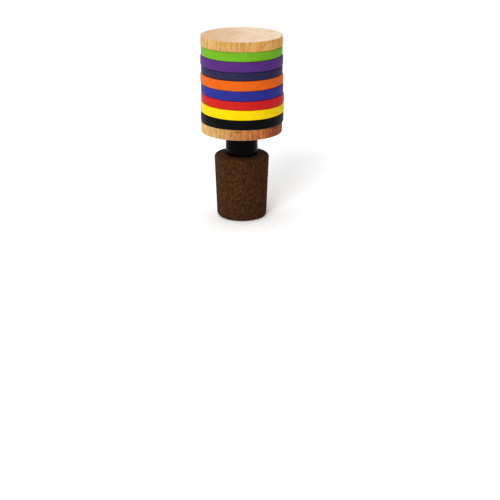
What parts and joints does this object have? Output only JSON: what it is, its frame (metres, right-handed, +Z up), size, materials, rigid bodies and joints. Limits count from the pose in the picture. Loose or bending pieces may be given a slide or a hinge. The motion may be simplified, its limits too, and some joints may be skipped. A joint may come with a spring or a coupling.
{
  "type": "wooden bottle stopper",
  "caption": "Turned wooden bottle stopper: a flat-ended beech head wrapped in coloured marker bands, on a short black stem and a tapered cork plug.",
  "frame": {"origin": "centre of the cork plug's flat lower end, on the turning axis", "axes": "+Z up along the turning axis, from the cork plug to the wooden head; +X to the right and +Y away in the picture's view; the part is round, so X and Y are free, apart from the slight pull of the bands to +X"},
  "size_m": [0.0308, 0.0308, 0.0686],
  "materials": {
    "beech": "satin",
    "silicone_green": "satin",
    "silicone_purple": "satin",
    "silicone_navy": "satin",
    "silicone_orange": "satin",
    "silicone_blue": "satin",
    "silicone_red": "satin",
    "silicone_yellow": "satin",
    "silicone_black": "satin",
    "black_plastic": "gloss",
    "cork": "matte"
  },
  "bodies": {
    "root": {"head": "beech", "band_green": "silicone_green", "band_purple": "silicone_purple", "band_navy": "silicone_navy", "band_orange": "silicone_orange", "band_blue": "silicone_blue", "band_red": "silicone_red", "band_yellow": "silicone_yellow", "band_black": "silicone_black", "stem": "black_plastic", "cork": "cork"}
  },
  "joints": []
}
